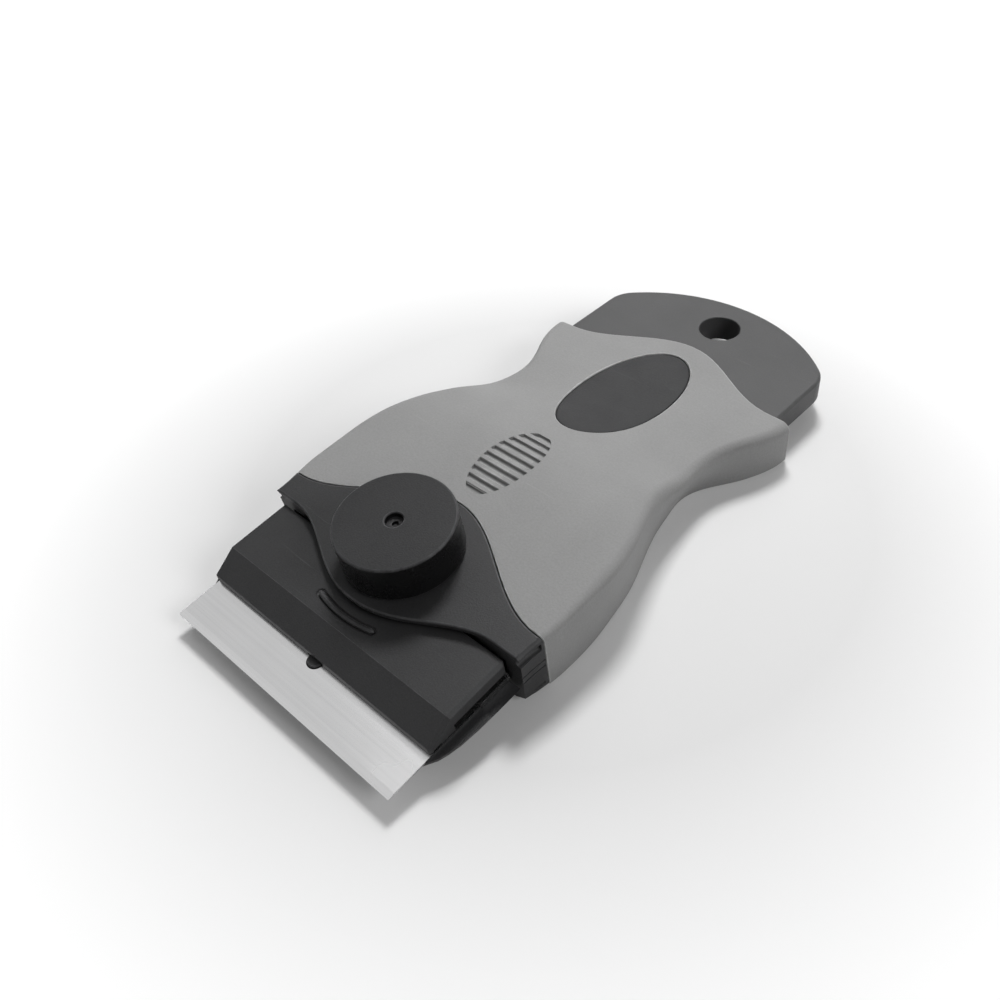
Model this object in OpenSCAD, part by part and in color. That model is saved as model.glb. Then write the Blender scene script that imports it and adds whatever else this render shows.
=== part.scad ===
// Razor blade scraper: a soft-gripped handle, a front cover with a clamping knob, and a jaw carriage
// that holds a 38 mm blade. The handle lies on its flat underside. X runs across it, Y from the blade
// to the hanging end, Z up. Places along the handle are counted from the cutting edge, and the origin
// is then set under the middle of the whole length. The jaws, cover and knob lean with the blade.

/* [Blade] */
// Width of the blade along its edge
blade_w = 38.1; // [30:0.1:45]
// Length of the blade from its edge to its back
blade_l = 18; // [15:0.5:22]
// Thickness of the blade
blade_t = 0.25; // [0.2:0.05:0.4]
// Length of the ground strip at the edge
edge_l = 0.9; // [0.4:0.1:2]
// Length of blade that stands out of the jaws
blade_out = 6.2; // [4:0.1:9]
// Length of the folded backing on the blade
spine_l = 4.2; // [3:0.1:6]
// Wall of the folded backing
spine_t = 0.35; // [0.25:0.05:0.5]
// Angle at which the blade leans down from the handle
pitch = 6; // [3:0.5:9]

/* [Jaws] */
// Thickness of the upper jaw
jaw_t = 3.2; // [2.6:0.1:4]
// Height of the upper jaw's front edge
jaw_edge = 1.1; // [0.6:0.1:2]
// Length of the slope at the front of the upper jaw
jaw_slope = 3.4; // [1:0.1:5]
// Overhang of the upper jaw past each end of the blade
jaw_side = 0.1; // [0:0.05:0.5]
// Thickness of the lower jaw
lower_t = 1.9; // [1.6:0.1:2.2]
// Overhang of the lower jaw past each end of the blade
rail_side = 1.05; // [0.6:0.05:1.5]
// Distance that the lower jaw's nose stands in front of the upper jaw
nose_out = 1.6; // [0.8:0.1:2.4]
// Distance from each end of the blade in to the side of the sliding part
slide_in = 0.85; // [0.6:0.05:2]
// Length of the sliding part at its full width
slide_l = 8.3; // [6:0.1:10]
// Width of the narrow tail of the carriage
tail_w = 25.6; // [22:0.1:27]
// Thickness of the upper jaw's tail
tail_t = 1.5; // [1:0.1:1.8]
// Distance that the carriage slides forward
travel = 12; // [8:0.5:13]
// Radius of the locating peg
peg_r = 1; // [0.7:0.1:1.3]
// Radius of the jaw hinge pin
pin_r = 0.75; // [0.6:0.05:0.9]
// Distance from the hinge pin to the end of the fork that holds it
fork_r = 2; // [1.6:0.1:2.4]
// Wall between the bolt slot and the hinge fork
pin_wall = 1.3; // [1:0.1:2]
// Half width of the hinge knuckle
knuckle_half = 6.2; // [4:0.1:8]
// Height of the arc rib on the upper jaw
rib_h = 0.3; // [0.2:0.05:0.4]
// Width of the arc rib
rib_w = 0.8; // [0.5:0.1:1.2]
// Radius of the middle of the arc rib
rib_r = 17.4; // [14:0.1:20]

/* [Knob] */
// Radius of the knob
knob_r = 7.4; // [6.5:0.1:8.5]
// Height of the knob
knob_h = 5.2; // [4.8:0.1:7]
// Radius of the clamp bolt
bolt_r = 2; // [1.5:0.1:2.2]
// Width of the bolt's square head
bolt_head = 7; // [6:0.1:8]
// Thickness of the bolt's head
bolt_head_t = 1.1; // [0.8:0.1:1.2]
// Radius of the brass insert in the knob
insert_r = 3.2; // [2.8:0.1:4]
// Length of the brass insert
insert_l = 2.9; // [2.4:0.1:3.2]
// Radius of the small hole through the knob's top
peep_r = 1.1; // [0.8:0.1:1.4]
// Radius of the flat washer under the knob
washer_r = 6.1; // [5:0.1:6.3]
// Thickness of the flat washer
washer_t = 0.5; // [0.4:0.05:0.6]
// Width of the spring washer's ring
spring_w = 1.5; // [1:0.1:2]
// Thickness of the spring washer
spring_t = 0.35; // [0.3:0.05:0.5]
// Distance from the cover's front edge back to the knob's axis
knob_back = 2.95; // [2:0.05:4]

/* [Front cover] */
// Depth of the cover's band from front to back
band_l = 3.5; // [3:0.1:5]
// Thickness of the cover's side walls
wing_t = 2.5; // [1.8:0.1:3]
// Thickness of the round lip over the jaws
lip_t = 0.75; // [0.6:0.05:1.2]
// Distance that the lip swells forward round the knob
lip_rise = 5.6; // [4:0.1:6]
// Half width of the lip's swell
lip_w = 17; // [14:0.5:18]
// Distance that the collar swells back round the knob
collar_rise = 8.6; // [6:0.1:9]
// Half width of the collar's swell
collar_w = 20.5; // [16:0.5:21]

/* [Handle] */
// Whole length from the blade's edge to the hanging end
whole_l = 91.2; // [88:0.1:96]
// Extra half width at the palm swell
swell_extra = 0.5; // [0:0.1:1.5]
// Place of the palm swell along the handle
swell_y = 25; // [23:0.5:28]
// Half width of the waist
waist_half = 14.75; // [14:0.05:16]
// Place of the waist along the handle
waist_y = 54.5; // [53:0.5:56]
// Half width of the handle's rear
rear_half = 20.4; // [19.6:0.1:22]
// Place of the handle's rear edge
rear_y = 71.5; // [70.5:0.5:73]
// Height of the blade above the underside, at the cover's front
seat_z = 4.6; // [4.5:0.1:5.2]
// Height of the crest of the back
crest_z = 11.1; // [10.9:0.1:12]
// Place of the crest along the handle
crest_y = 40; // [38:0.5:42]
// Height of the back at the waist
waist_z = 8.75; // [8.6:0.05:9.4]
// Height of the back at the rear edge
rear_z = 6.85; // [6.7:0.05:7.2]
// Thickness of the soft grip
grip_t = 1.3; // [1:0.1:1.5]
// Distance that the grip swells back over the tongue
apron_rise = 6.4; // [4:0.1:7]
// Half width of that swell
apron_w = 17; // [14:0.5:18]
// Half length of the thumb pad
pad_a = 12.4; // [11:0.1:13]
// Half width of the thumb pad
pad_b = 6.4; // [5:0.1:7]
// Place of the thumb pad's middle
pad_y = 62; // [61:0.5:62.5]
// Depth of the thumb pad below the grip
pad_low = 0.12; // [0.05:0.01:0.3]
// Number of vent slots
vent_n = 10; // [4:1:10]
// Spacing of the vent slots
vent_gap = 1.39; // [1.2:0.01:1.4]
// Width of a vent slot
vent_w = 0.6; // [0.4:0.05:0.8]
// Half width of the oval that the vent slots fill
vent_half = 3.4; // [2.5:0.1:4]
// Place of the middle of the vent slots
vent_y = 39.1; // [38:0.1:39.5]

/* [Hanging tongue] */
// Half width of the tongue
tongue_half = 18.2; // [16:0.1:18.4]
// Height of the tongue's top
tongue_z = 6; // [5.5:0.1:6.1]
// Thickness of the tongue
tongue_t = 3.6; // [2.4:0.1:4]
// Radius of the tongue's rounded end
tongue_r = 24.9; // [22:0.1:30]
// Radius of the tongue's corners
corner_r = 4.6; // [1:0.1:6]
// Radius of the hanging hole
hang_r = 3; // [2:0.1:3.5]
// Distance from the hanging end to the hole's middle
hang_in = 6.6; // [5.5:0.1:8]

/* [Case] */
// Height of the joint between the two halves of the core
split_z = 4.6; // [4.2:0.1:4.8]
// Wall of the hollow core
core_t = 1.6; // [1.2:0.1:1.8]
// Radius of a case screw's shank
screw_r = 1.1; // [0.9:0.05:1.2]
// Radius of a case screw's head
screw_head = 2.1; // [1.8:0.1:2.3]
// Thickness of a case screw's head
screw_head_t = 1.3; // [1:0.1:1.4]
// Length of a case screw under its head
screw_l = 4.6; // [4.2:0.1:4.8]
// Distance of the front screws from the middle
front_screw_x = 9.5; // [8.5:0.1:10]
// Place of the front screws along the handle
front_screw_y = 45; // [44.8:0.1:46]
// Distance of the rear screws from the middle
rear_screw_x = 8.4; // [7.5:0.1:9]
// Distance from the rear screws to the end of the core's upper half
rear_screw_in = 3.6; // [3.4:0.1:4.2]

/* [Fits] */
// Clearance round a turning or sliding pin
run_gap = 0.05; // [0.03:0.01:0.08]
// Clearance beside a sliding part
side_gap = 0.3; // [0.25:0.05:0.4]
// Clearance under a sliding part
floor_gap = 0.15; // [0.1:0.05:0.25]
// Clearance between two pieces that touch as flat faces
face_gap = 0.05; // [0.03:0.01:0.1]
// Width of the seam round the cover
seam = 0.1; // [0.05:0.05:0.2]
// Room over the upper jaw for it to open
lip_gap = 0.65; // [0.6:0.05:0.9]
// Room over the jaw's tail for it to open
tail_gap = 0.8; // [0.7:0.05:0.9]

/* [Hidden] */

$fn = 64;
steps = 36;        // points along a free outline
cut = 1;           // overrun of a cutting solid
tall = 30;         // more than the whole height
wide = 60;         // more than the whole width

// Widths that follow the blade
blade_half = blade_w / 2;
jaw_half = blade_half + jaw_side;
rail_half = blade_half + rail_side;
slide_half = blade_half - slide_in;
wing_in = slide_half + side_gap;
front_half = wing_in + wing_t;
swell_half = front_half + swell_extra;

// Small distances that keep the pieces apart
blade_room = 0.2;      // behind the blade, in the upper jaw
shoulder_gap = 0.45;   // between the jaws and the cover
tail_room = 0.4;       // behind the carriage's tail
knob_lift = 0.3;       // under the knob
knob_edge = 0.3;       // chamfer of the knob
boss_wall = 0.3;       // round a case screw's head
split_w = 0.4;         // split in the spring washer
jaw_rest = 0.03;       // between the upper jaw and the blade
core_lap = 3.7;        // from the waist back to the end of the core's upper half

// Places along the leaning parts
jaw_back = blade_l + blade_room;
cover_y = jaw_back + shoulder_gap;
band_y = cover_y + band_l;
knob_y = cover_y + knob_back;
nose_y = blade_out - nose_out;
slide_end = jaw_back + slide_l;
slot_half = bolt_r + side_gap;
slot_end = knob_y + travel;
pin_y = slot_end + slot_half + pin_wall + fork_r;
tail_end = pin_y + fork_r;
channel_end = tail_end + tail_room;
rib_y = cover_y - lip_rise + rib_r - 1.75;

// Heights of the leaning parts, counted from the blade's upper face
lower_top = -blade_t;
lower_z = lower_top - lower_t;
floor_z = lower_z - floor_gap;
lip_z = jaw_t + lip_gap;
cover_z = lip_z + lip_t;
band_z = tail_t + tail_gap;
pin_z = -0.3;
knuckle_z = tail_t - 0.3;
head_z = floor_z - 1 - bolt_head_t;
washer_z = cover_z + face_gap;
spring_z = washer_z + washer_t;
knob_z = cover_z + knob_lift;
recess_z = spring_z + spring_t + face_gap;
insert_z = recess_z;
bolt_top = insert_z + insert_l - 0.1;
knob_top = knob_z + knob_h;

// Shape of the back
front_slope = tan(pitch);
line_end = knob_y + collar_rise;
core_in = grip_t + face_gap;
core_rear = rear_y - grip_t;
root_y = waist_y + core_lap;
rear_screw_y = root_y - rear_screw_in;
edge_y = cover_y * (1 - cos(pitch)) + blade_t / 2 * sin(pitch);
middle_y = (whole_l + edge_y) / 2;
arc_y = whole_l - tongue_r;
hang_y = whole_l - hang_in;
screw_z = 0.4;

function ease(t) = (1 - cos(180 * t)) / 2;
function bell(x, w, power) = abs(x) < w ? (1 + cos(180 * pow(abs(x) / w, power))) / 2 : 0;

// Cubic between two points with given slopes
function cubic(y, y0, z0, s0, y1, z1, s1) =
    let (l = y1 - y0, t = (y - y0) / l)
    z0 * (2 * t^3 - 3 * t^2 + 1) + l * s0 * (t^3 - 2 * t^2 + t)
    + z1 * (3 * t^2 - 2 * t^3) + l * s1 * (t^3 - t^2);

// Half width of the handle at a place along it
function half_w(y) =
    y < swell_y ? front_half + swell_extra * ease(max(y - cover_y, 0) / (swell_y - cover_y))
    : y < waist_y ? swell_half - (swell_half - waist_half) * ease(pow((y - swell_y) / (waist_y - swell_y), 1.25))
    : waist_half + (rear_half - waist_half) * ease(min(y - waist_y, rear_y - waist_y) / (rear_y - waist_y));

// Height of the handle's back at a place along it
function front_z(y) = seat_z + cover_z / cos(pitch) + front_slope * (y - cover_y);
function back_z(y) =
    y < line_end ? front_z(y)
    : y < crest_y ? cubic(y, line_end, front_z(line_end), front_slope, crest_y, crest_z, 0)
    : y < waist_y ? cubic(y, crest_y, crest_z, 0, waist_y, waist_z, -0.19)
    : y < rear_y ? cubic(y, waist_y, waist_z, -0.19, rear_y, rear_z, -0.05)
    : rear_z - 0.05 * (y - rear_y);

// Edges of the front cover
function lip_edge(x) = cover_y - lip_rise * bell(x, lip_w, 1.1);
function collar_edge(x) = band_y + collar_rise * bell(x, collar_w, 1);
function apron_edge(x) = rear_y + apron_rise * bell(x, apron_w, 1);

function stations(a, b) = [for (i = [0:steps]) a + (b - a) * i / steps];
function turned(list) = [for (i = [len(list) - 1:-1:0]) list[i]];

// Puts a part drawn from the blade's edge over the origin
module lay() {
    translate([0, -middle_y, 0]) children();
}

// The same for a part that leans with the blade
module lean() {
    lay() translate([0, cover_y, seat_z]) rotate([pitch, 0, 0]) translate([0, -cover_y, 0]) children();
}

// A box given by its half width, its two places along the handle and its two heights
module slab(half, y0, y1, z0, z1) {
    translate([-half, y0, z0]) cube([2 * half, y1 - y0, z1 - z0]);
}

// Extrudes an outline of places and heights across the handle
module across(half) {
    translate([-half, 0, 0]) rotate([90, 0, 90]) linear_extrude(2 * half) children();
}

// A length of the handle, drawn in from its sides and down from its back
module stretch(y0, y1, inset, drop, z0, z1) {
    side = [for (y = stations(y0, y1)) [half_w(y) - inset, y]];
    intersection() {
        translate([0, 0, z0])
            linear_extrude(z1 - z0) polygon(concat(side, turned([for (p = side) [-p[0], p[1]]])));
        across(wide / 2)
            polygon(concat([for (y = stations(y0, y1)) [y, back_z(y) - drop]], [[y1, -cut], [y0, -cut]]));
    }
}

// The area of the cover between an edge in front and an edge behind
module cover_area(front, back) {
    dense = [for (i = [-2 * steps:2 * steps]) i * wide / (4 * steps)];
    polygon(concat([for (x = dense) [x, front ? lip_edge(x) : cover_y]],
        turned([for (x = dense) [x, back ? collar_edge(x) : band_y]])));
}

// The room that the carriage slides in
module channel() {
    lean() {
        slab(wing_in, 0, slide_end + side_gap, floor_z, band_z + 0.1);
        slab(tail_w / 2 + side_gap, 0, channel_end, floor_z, band_z - 0.3);
    }
}

// An oval prism for the thumb pad
module pad_oval(extra) {
    translate([0, pad_y, tongue_z])
        linear_extrude(tall)
            polygon([for (a = [0:7.5:352.5]) [(pad_b + extra) * cos(a), (pad_a + extra) * sin(a)]]);
}

// Holes for the case screws
module at_screws() {
    for (side = [-1, 1]) {
        translate([side * front_screw_x, front_screw_y, 0]) children();
        translate([side * rear_screw_x, rear_screw_y, 0]) children();
    }
}

// The hollow between the two halves of the core, round the screw bosses
module hollow(z0, z1, drop) {
    difference() {
        stretch(channel_end + core_t, root_y - core_t, core_in + core_t, drop, z0, z1);
        at_screws() translate([0, 0, -cut]) cylinder(r = screw_head + boss_wall, h = tall);
    }
}

// Outline of the hanging tongue, with its corners rounded
module tongue_area(y0) {
    reach = tongue_r - corner_r;
    cx = tongue_half - corner_r;
    cy = arc_y + sqrt(reach^2 - cx^2);
    turn = atan2(cy - arc_y, cx);
    corner = [for (i = [0:6]) [cx + corner_r * cos(turn * i / 6), cy + corner_r * sin(turn * i / 6)]];
    round = [for (i = [1:12]) let (a = turn + (90 - turn) * i / 12) [tongue_r * cos(a), arc_y + tongue_r * sin(a)]];
    half = concat([[tongue_half, y0]], corner, round);
    polygon(concat(half, turned([for (p = half) [-p[0], p[1]]])));
}

// Lower half of the hard core, with the tongue in one piece
module core_base() {
    color([0.16, 0.16, 0.17]) lay() difference() {
        union() {
            intersection() {
                union() {
                    stretch(cover_y - cut, core_rear, core_in, core_in, 0, split_z);
                    stretch(root_y, core_rear, core_in, -tall, 0, tongue_z);
                }
                translate([0, middle_y, 0]) lean() {
                    slab(wide / 2, band_y + seam, whole_l + tall, -tall, tall);
                    slab(wing_in - face_gap, cover_y + 0.15, whole_l, -tall, tall);
                }
            }
            translate([0, 0, tongue_z - tongue_t]) linear_extrude(tongue_t) tongue_area(core_rear - 2 * cut);
        }
        translate([0, middle_y, 0]) {
            channel();
            lean() translate([0, knob_y, 0]) {
                translate([0, 0, head_z - cut]) cylinder(r = bolt_r + face_gap, h = tall / 2);
                translate([0, 0, head_z + bolt_head_t + face_gap - tall / 2])
                    linear_extrude(tall / 2) square(bolt_head + 2 * face_gap, center = true);
            }
        }
        hollow(core_t, split_z + cut, -tall);
        at_screws() {
            translate([0, 0, -cut]) cylinder(r = screw_r + face_gap, h = tall);
            translate([0, 0, -cut]) cylinder(r = screw_head + face_gap, h = cut + screw_z + screw_head_t);
        }
        translate([0, hang_y, 0]) cylinder(r = hang_r, h = tall);
    }
}

// Upper half of the hard core
module core_top() {
    color([0.13, 0.13, 0.14]) lay() difference() {
        intersection() {
            stretch(cover_y, root_y - face_gap, core_in, core_in, split_z + face_gap, tall);
            translate([0, middle_y, 0]) lean() slab(wide / 2, band_y + seam, whole_l, -tall, tall);
        }
        translate([0, middle_y, 0]) {
            channel();
            lean() translate([0, knob_y, -tall / 2]) cylinder(r = bolt_r + side_gap, h = tall);
        }
        hollow(split_z - cut, tall, core_in + core_t);
        at_screws() cylinder(r = screw_r + face_gap, h = screw_z + screw_head_t + screw_l + face_gap);
    }
}

// Black front cover: the round collar, the lip over the jaws and the two side walls
module front_cover() {
    color([0.07, 0.07, 0.075]) intersection() {
        lean() difference() {
            union() {
                translate([0, 0, lip_z]) linear_extrude(lip_t) cover_area(true, false);
                translate([0, 0, cover_z - grip_t + face_gap]) linear_extrude(grip_t - face_gap) cover_area(false, true);
                translate([0, 0, band_z]) linear_extrude(cover_z - band_z) cover_area(false, false);
                for (side = [-1, 1])
                    translate([side * (wing_in + wing_t), 0, 0])
                        slab(wing_t, cover_y, band_y, -tall, cover_z);
            }
            translate([0, knob_y, -cut]) cylinder(r = bolt_r + side_gap, h = tall);
        }
        lay() stretch(cover_y - lip_rise - 2 * cut, band_y + collar_rise + 2 * cut, 0, -tall, 0, tall);
    }
}

// Soft grip: a skin over the back and sides of the core, open underneath
module grip_sleeve() {
    color([0.55, 0.55, 0.54]) lay() difference() {
        union() {
            stretch(cover_y, rear_y, 0, 0, 0, tall);
            intersection() {
                stretch(root_y, rear_y + apron_rise, 0, 0, tongue_z + face_gap, tall);
                linear_extrude(tall) polygon(concat([[-apron_w, root_y]],
                    [for (x = stations(-apron_w, apron_w)) [x, apron_edge(x)]], [[apron_w, root_y]]));
            }
        }
        stretch(cover_y - cut, root_y, grip_t, grip_t, -cut, tall);
        stretch(root_y - cut, core_rear + face_gap, grip_t, -tall, -cut, tongue_z + face_gap);
        slab(tongue_half + face_gap, core_rear - cut, rear_y + cut, tongue_z - tongue_t - face_gap, tongue_z + face_gap);
        translate([0, middle_y, 0]) lean() {
            translate([0, 0, -tall]) linear_extrude(2 * tall) translate([0, seam]) cover_area(true, true);
            slab(wide, cover_y - tall, cover_y + cut, -tall, tall);
        }
        pad_oval(face_gap);
        vents();
    }
}

// Vent slots through the grip, filling an oval
module vents() {
    span = (vent_n - 1) / 2 * vent_gap;
    reach = span * 1.09;
    for (i = [0:vent_n - 1]) {
        off = i * vent_gap - span;
        half = vent_half * sqrt(1 - (off / reach)^2);
        slab(half, vent_y + off - vent_w / 2, vent_y + off + vent_w / 2, back_z(vent_y + off) - grip_t - cut, tall);
    }
}

// Oval thumb pad let into the grip
module thumb_pad() {
    color([0.2, 0.2, 0.21]) lay() intersection() {
        pad_oval(0);
        difference() {
            stretch(pad_y - pad_a - cut, pad_y + pad_a + cut, 0, pad_low, tongue_z + face_gap, tall);
            stretch(pad_y - pad_a - 2 * cut, root_y, 0, grip_t, 0, tall);
        }
    }
}

// Clamp bolt with its square head let into the underside
module clamp_bolt() {
    color([0.6, 0.6, 0.62]) lean() translate([0, knob_y, head_z]) {
        translate([-bolt_head / 2, -bolt_head / 2, 0]) cube([bolt_head, bolt_head, bolt_head_t]);
        cylinder(r = bolt_r, h = bolt_top - head_z);
    }
}

// One case screw, with its driver slot
module case_screw(x, y) {
    color([0.5, 0.5, 0.52]) lay() translate([x, y, screw_z]) difference() {
        union() {
            cylinder(r = screw_head, h = screw_head_t);
            cylinder(r = screw_r, h = screw_head_t + screw_l);
        }
        for (turn = [0, 90])
            rotate(turn) translate([-screw_head * 0.6, -0.25, -cut]) cube([screw_head * 1.2, 0.5, cut + 0.6]);
    }
}

// A flat ring on the knob's axis
module ring(outer, inner, z, h) {
    lean() translate([0, knob_y, z]) difference() {
        cylinder(r = outer, h = h);
        translate([0, 0, -cut]) cylinder(r = inner, h = h + 2 * cut);
    }
}

module thrust_washer() {
    color([0.62, 0.62, 0.64]) ring(washer_r, bolt_r + side_gap, washer_z, washer_t);
}

// Split spring washer that keeps the knob from working loose
module spring_washer() {
    color([0.5, 0.5, 0.52]) lean() translate([0, knob_y, spring_z]) difference() {
        cylinder(r = bolt_r + side_gap + spring_w, h = spring_t);
        translate([0, 0, -cut]) cylinder(r = bolt_r + side_gap, h = spring_t + 2 * cut);
        rotate(20) translate([0, -split_w / 2, -cut]) cube([tall, split_w, spring_t + 2 * cut]);
    }
}

// Round knob with a recess for the washers and a small hole over the bolt's end
module knob() {
    color([0.06, 0.06, 0.065]) lean() translate([0, knob_y, 0]) difference() {
        translate([0, 0, knob_z]) {
            cylinder(r = knob_r, h = knob_h - knob_edge);
            translate([0, 0, knob_h - knob_edge]) cylinder(r1 = knob_r, r2 = knob_r - knob_edge, h = knob_edge);
        }
        translate([0, 0, knob_z - cut]) cylinder(r = washer_r + side_gap, h = recess_z - knob_z + cut);
        translate([0, 0, recess_z - cut]) cylinder(r = insert_r, h = insert_l + cut);
        cylinder(r = peep_r, h = tall);
        translate([0, 0, knob_top - knob_edge]) cylinder(r1 = peep_r, r2 = peep_r + knob_edge, h = knob_edge);
    }
}

// Threaded brass insert in the knob
module knob_insert() {
    color([0.72, 0.6, 0.3]) ring(insert_r, bolt_r + run_gap, insert_z, insert_l);
}

// The slot that clears the bolt over the whole travel
module bolt_slot() {
    translate([0, 0, -tall / 2]) {
        slab(slot_half, knob_y, slot_end, 0, tall);
        for (y = [knob_y, slot_end])
            translate([0, y, 0]) cylinder(r = slot_half, h = tall);
    }
}

// A cylinder across the jaws
module cross_pin(r, half, y, z) {
    translate([-half, y, z]) rotate([0, 90, 0]) cylinder(r = r, h = 2 * half);
}

// Upper jaw: sloped block, arc rib and the hinged tail under the cover
module upper_jaw() {
    z0 = jaw_rest;
    color([0.09, 0.09, 0.095]) lean() difference() {
        union() {
            across(jaw_half) polygon([[blade_out, z0], [blade_out, jaw_edge],
                [blade_out + jaw_slope, jaw_t], [jaw_back, jaw_t], [jaw_back, z0]]);
            slab(slide_half - 1.2, jaw_back - cut, slide_end - 0.5, z0, tail_t);
            slab(tail_w / 2 - side_gap, jaw_back - cut, pin_y - fork_r, z0, tail_t);
            slab(knuckle_half, pin_y - fork_r - cut, pin_y, z0, knuckle_z);
            slab(knuckle_half, pin_y - fork_r, pin_y + fork_r - side_gap, 2 * pin_z - knuckle_z + side_gap, knuckle_z);
            jaw_rib();
        }
        bolt_slot();
        slab(wide / 2, blade_l - spine_l - 0.3, blade_l + spine_t + 0.4, -cut, spine_t + 0.1);
        translate([0, blade_out, -cut]) cylinder(r = peg_r + side_gap, h = cut + 0.55);
        cross_pin(pin_r + run_gap, wide / 2, pin_y, pin_z);
    }
}

// Raised arc in front of the collar
module jaw_rib() {
    reach = 5.5;
    intersection() {
        translate([0, rib_y, jaw_t - 0.1]) difference() {
            cylinder(r = rib_r + rib_w / 2, h = rib_h + 0.1, $fn = 128);
            translate([0, 0, -cut]) cylinder(r = rib_r - rib_w / 2, h = rib_h + 2 * cut, $fn = 128);
        }
        slab(reach, 0, rib_y, 0, tall);
    }
}

// Lower jaw: rounded nose, blade seat, slide and hinge fork
module lower_jaw() {
    nose_r = 0.9;
    color([0.08, 0.08, 0.085]) lean() difference() {
        union() {
            intersection() {
                across(rail_half) polygon(concat(
                    [for (a = [0:15:90]) [nose_y + nose_r - nose_r * cos(a), lower_z + nose_r - nose_r * sin(a)]],
                    [[jaw_back, lower_z], [jaw_back, lower_top], [nose_y, lower_top]]));
                translate([0, 0, -tall]) linear_extrude(2 * tall) polygon(concat(
                    [for (a = [0:15:90]) [rail_half - 2 + 2 * sin(a), nose_y + 2 - 2 * cos(a)]],
                    [[rail_half, jaw_back], [-rail_half, jaw_back]],
                    [for (a = [90:-15:0]) [-rail_half + 2 - 2 * sin(a), nose_y + 2 - 2 * cos(a)]]));
            }
            slab(slide_half, jaw_back - cut, slide_end, lower_z, lower_top);
            slab(tail_w / 2, jaw_back - cut, tail_end, lower_z, lower_top);
            slab(tail_w / 2, pin_y - fork_r + side_gap, tail_end, lower_z, knuckle_z);
        }
        bolt_slot();
        slab(knuckle_half + side_gap, pin_y - fork_r - 2 * side_gap, tail_end + cut, -tall, tall);
        slab(wide / 2, blade_l - spine_l - 0.15, blade_l + spine_t + 0.1, lower_top - spine_t - 0.05, tall / 2);
        translate([0, blade_out, -tall / 2]) cylinder(r = peg_r, h = tall);
        cross_pin(pin_r, wide / 2, pin_y, pin_z);
    }
}

// Blade with its ground edge and its locating hole
module blade() {
    color([0.82, 0.82, 0.83]) lean() difference() {
        across(blade_half) polygon([[0, -blade_t / 2], [edge_l, 0], [blade_l, 0], [blade_l, -blade_t], [edge_l, -blade_t]]);
        translate([0, blade_out, -cut]) cylinder(r = peg_r + 0.15, h = 2 * cut);
    }
}

// Folded backing that stiffens the blade
module blade_spine() {
    color([0.7, 0.7, 0.72]) lean() difference() {
        slab(blade_half, blade_l - spine_l, blade_l + spine_t, -blade_t - spine_t, spine_t);
        slab(wide / 2, 0, blade_l, -blade_t, 0);
    }
}

// Peg that stands through the blade's hole
module blade_peg() {
    color([0.12, 0.12, 0.13]) lean() translate([0, blade_out, lower_z]) cylinder(r = peg_r, h = -lower_z + 0.3);
}

// Pin on which the upper jaw opens
module jaw_pin() {
    color([0.6, 0.6, 0.62]) lean() cross_pin(pin_r, tail_w / 2, pin_y, pin_z);
}

core_base();
core_top();
front_cover();
grip_sleeve();
thumb_pad();
clamp_bolt();
case_screw(-front_screw_x, front_screw_y);  // case_screw_front_left
case_screw(front_screw_x, front_screw_y);  // case_screw_front_right
case_screw(-rear_screw_x, rear_screw_y);  // case_screw_rear_left
case_screw(rear_screw_x, rear_screw_y);  // case_screw_rear_right
thrust_washer();
spring_washer();
knob();
knob_insert();
upper_jaw();
lower_jaw();
blade();
blade_spine();
blade_peg();
jaw_pin();
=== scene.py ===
# Looks of a razor blade scraper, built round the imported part. X runs across the scraper, Y from the blade
# to the hanging end, Z up. Sizes are millimetres, and places along the scraper are counted from the cutting
# edge. lay() and lean() turn them into metres in the part's frame: the handle lies flat, and the blade,
# jaws, cover and knob lean down towards the edge.
from math import atan2, cos, pi, radians, sin, sqrt, tan

import bmesh
import bpy
import numpy as np
from mathutils import Matrix, Vector


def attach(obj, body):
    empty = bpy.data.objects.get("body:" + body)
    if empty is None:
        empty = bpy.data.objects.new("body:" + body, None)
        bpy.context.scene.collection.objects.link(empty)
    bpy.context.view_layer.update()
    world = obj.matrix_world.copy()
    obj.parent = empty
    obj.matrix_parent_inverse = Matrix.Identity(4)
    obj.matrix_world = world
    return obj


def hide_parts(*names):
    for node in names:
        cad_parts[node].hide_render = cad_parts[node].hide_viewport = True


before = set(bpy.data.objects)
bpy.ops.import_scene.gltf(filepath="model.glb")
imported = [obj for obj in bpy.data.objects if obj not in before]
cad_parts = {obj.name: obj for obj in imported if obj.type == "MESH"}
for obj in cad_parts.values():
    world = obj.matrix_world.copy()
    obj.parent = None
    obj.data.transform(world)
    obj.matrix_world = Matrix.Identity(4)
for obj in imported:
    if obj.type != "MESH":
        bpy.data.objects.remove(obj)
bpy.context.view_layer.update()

MM = 0.001

# Sizes that the part's source has too, but for the pad, which is drawn 0.1 smaller all round. Names end in
# _Y for places along the scraper, _Z for heights, _HALF for half widths, _R for radii, _T for thicknesses.

# The whole, and the slope, height and start of what leans
WHOLE, MIDDLE = 91.2, 45.6576
PITCH, SEAT, COVER_Y = radians(6), 4.6, 18.65

# The handle's widths and back, from the cover to the rear
FRONT_HALF, SWELL, SWELL_Y = 21.0, 0.5, 25.0
WAIST_HALF, WAIST_Y = 14.75, 54.5
REAR_HALF, REAR_Y = 20.4, 71.5
CREST_Z, CREST_Y = 11.1, 40.0
WAIST_Z, WAIST_SLOPE = 8.75, -0.19
REAR_Z, REAR_SLOPE = 6.85, -0.05

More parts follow.
